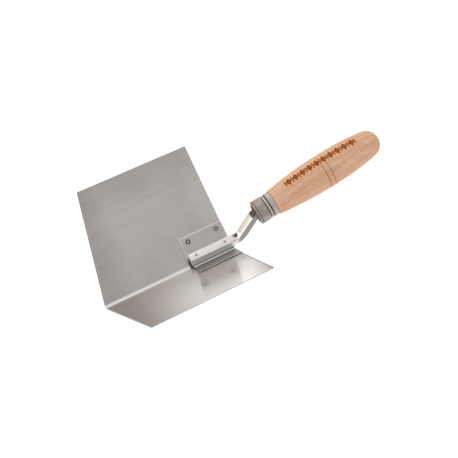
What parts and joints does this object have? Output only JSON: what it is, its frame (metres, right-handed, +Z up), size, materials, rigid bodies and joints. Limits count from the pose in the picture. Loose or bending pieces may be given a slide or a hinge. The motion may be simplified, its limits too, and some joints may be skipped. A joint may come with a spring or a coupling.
{
  "type": "inside corner trowel",
  "caption": "Inside corner trowel: a folded stainless blade, a pressed bracket in its corner, a gooseneck shank, a steel ferrule and a turned beech handle.",
  "frame": {"origin": "on the surface that the first leaf lies on, under the middle of the trowel's bounding box", "axes": "+X along the blade's spine from its front end towards the handle, +Y across the leaf that lies flat, away from the spine, +Z up from the surface"},
  "size_m": [0.3114, 0.1442, 0.1109],
  "materials": {
    "blade_steel": "brushed stainless sheet, satin",
    "bracket_steel": "pressed stainless sheet, mill finish",
    "shank_steel": "bright plated bar, polished on top and blasted on its sides",
    "ferrule_steel": "satin turned steel",
    "weld_metal": "spot weld with a brown heat ring",
    "beech": "turned beech under a thin satin lacquer"
  },
  "bodies": {
    "root": {"blade": "blade_steel", "mounting_bracket": "bracket_steel", "shank": "shank_steel", "ferrule": "ferrule_steel", "ferrule_washer": "ferrule_steel", "handle": "beech", "weld_first_leaf_front": "weld_metal", "weld_first_leaf_rear": "weld_metal", "weld_second_leaf_front": "weld_metal", "weld_second_leaf_rear": "weld_metal", "weld_foot_front": "weld_metal", "weld_foot_rear": "weld_metal"}
  },
  "joints": []
}
